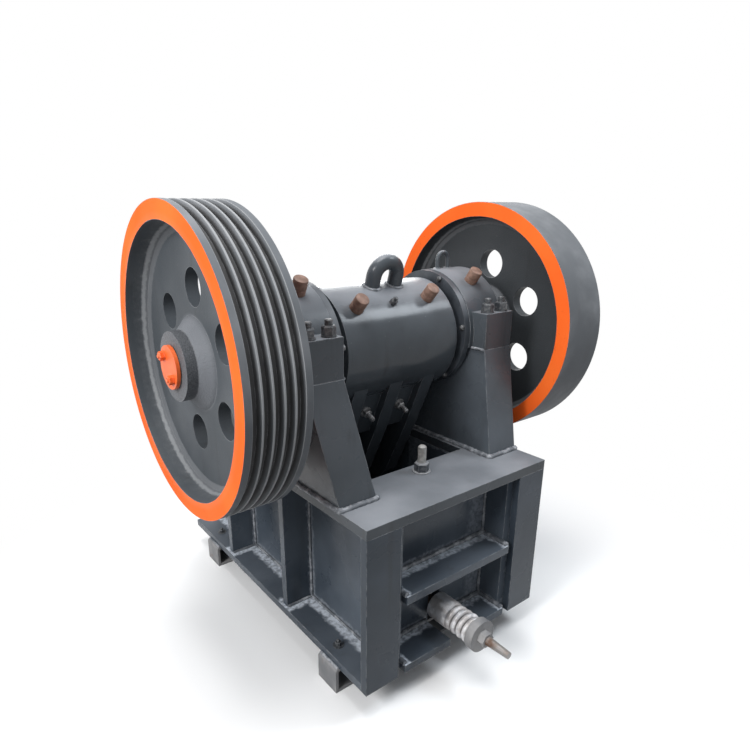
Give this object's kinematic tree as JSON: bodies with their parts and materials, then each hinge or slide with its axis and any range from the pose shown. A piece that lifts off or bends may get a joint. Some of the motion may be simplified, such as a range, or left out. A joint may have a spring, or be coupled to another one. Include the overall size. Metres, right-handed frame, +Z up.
{
  "type": "jaw crusher",
  "caption": "Single-toggle jaw crusher on foot channels, with a welded plate frame, pitman on an eccentric shaft, grooved drive pulley and plain flywheel.",
  "frame": {"origin": "on the floor under the foot channels, below the middle of the machine's length and width", "axes": "+X along the shaft from the belt pulley to the flywheel, +Y from the tension rod to the feed mouth, +Z up"},
  "size_m": [1.316, 1.376, 1.393],
  "materials": {
    "slate_paint": "semi-gloss",
    "orange_paint": "satin",
    "brown_cap": "matte",
    "wear_steel": "rough cast",
    "bare_steel": "worn",
    "black_paint": "satin"
  },
  "bodies": {
    "frame": {"rear_foot": "slate_paint", "front_foot": "slate_paint", "left_base_flange": "slate_paint", "right_base_flange": "slate_paint", "left_side_plate": "slate_paint", "right_side_plate": "slate_paint", "left_rear_end_plate": "slate_paint", "right_rear_end_plate": "slate_paint", "top_plate": "slate_paint", "rear_wall": "slate_paint", "rear_shelf": "slate_paint", "left_bottom_plate": "slate_paint", "right_bottom_plate": "slate_paint", "left_side_ribs": "slate_paint", "right_side_ribs": "slate_paint", "left_pedestal": "slate_paint", "right_pedestal": "slate_paint", "left_bearing_housing": "slate_paint", "right_bearing_housing": "slate_paint", "left_upper_wall": "slate_paint", "right_upper_wall": "slate_paint", "front_wall": "slate_paint", "front_ribs": "slate_paint", "fixed_jaw_plate": "wear_steel", "left_cheek_plate": "wear_steel", "right_cheek_plate": "wear_steel", "toggle_seat": "slate_paint", "toggle_plate": "slate_paint", "adjusting_stud": "bare_steel", "bearing_plugs": "brown_cap", "cap_eye": "slate_paint", "left_seal_ring": "black_paint", "right_seal_ring": "black_paint"},
    "rotor": {"eccentric_shaft": "bare_steel", "flywheel": "slate_paint", "belt_pulley": "slate_paint", "left_keeper_plate": "orange_paint", "right_keeper_plate": "orange_paint"},
    "pitman": {"pitman": "slate_paint", "moving_jaw_plate": "wear_steel", "pitman_plugs": "brown_cap", "lifting_eye": "slate_paint", "tension_rod": "bare_steel", "rod_pin": "bare_steel", "rod_collar": "slate_paint", "tension_spring": "bare_steel"}
  },
  "joints": [
    {"name": "rotor_spin", "type": "hinge", "parent": "frame", "child": "rotor", "pos_m": [0, -0.043, 0.983], "axis": [1, 0, 0], "continuous": true},
    {"name": "pitman_swing", "type": "hinge", "parent": "rotor", "child": "pitman", "pos_m": [0, -0.043, 0.973], "axis": [1, 0, 0], "continuous": true}
  ],
  "couplings": [
    {"joint": "pitman_swing", "follows": "rotor_spin", "ratio": -1}
  ]
}
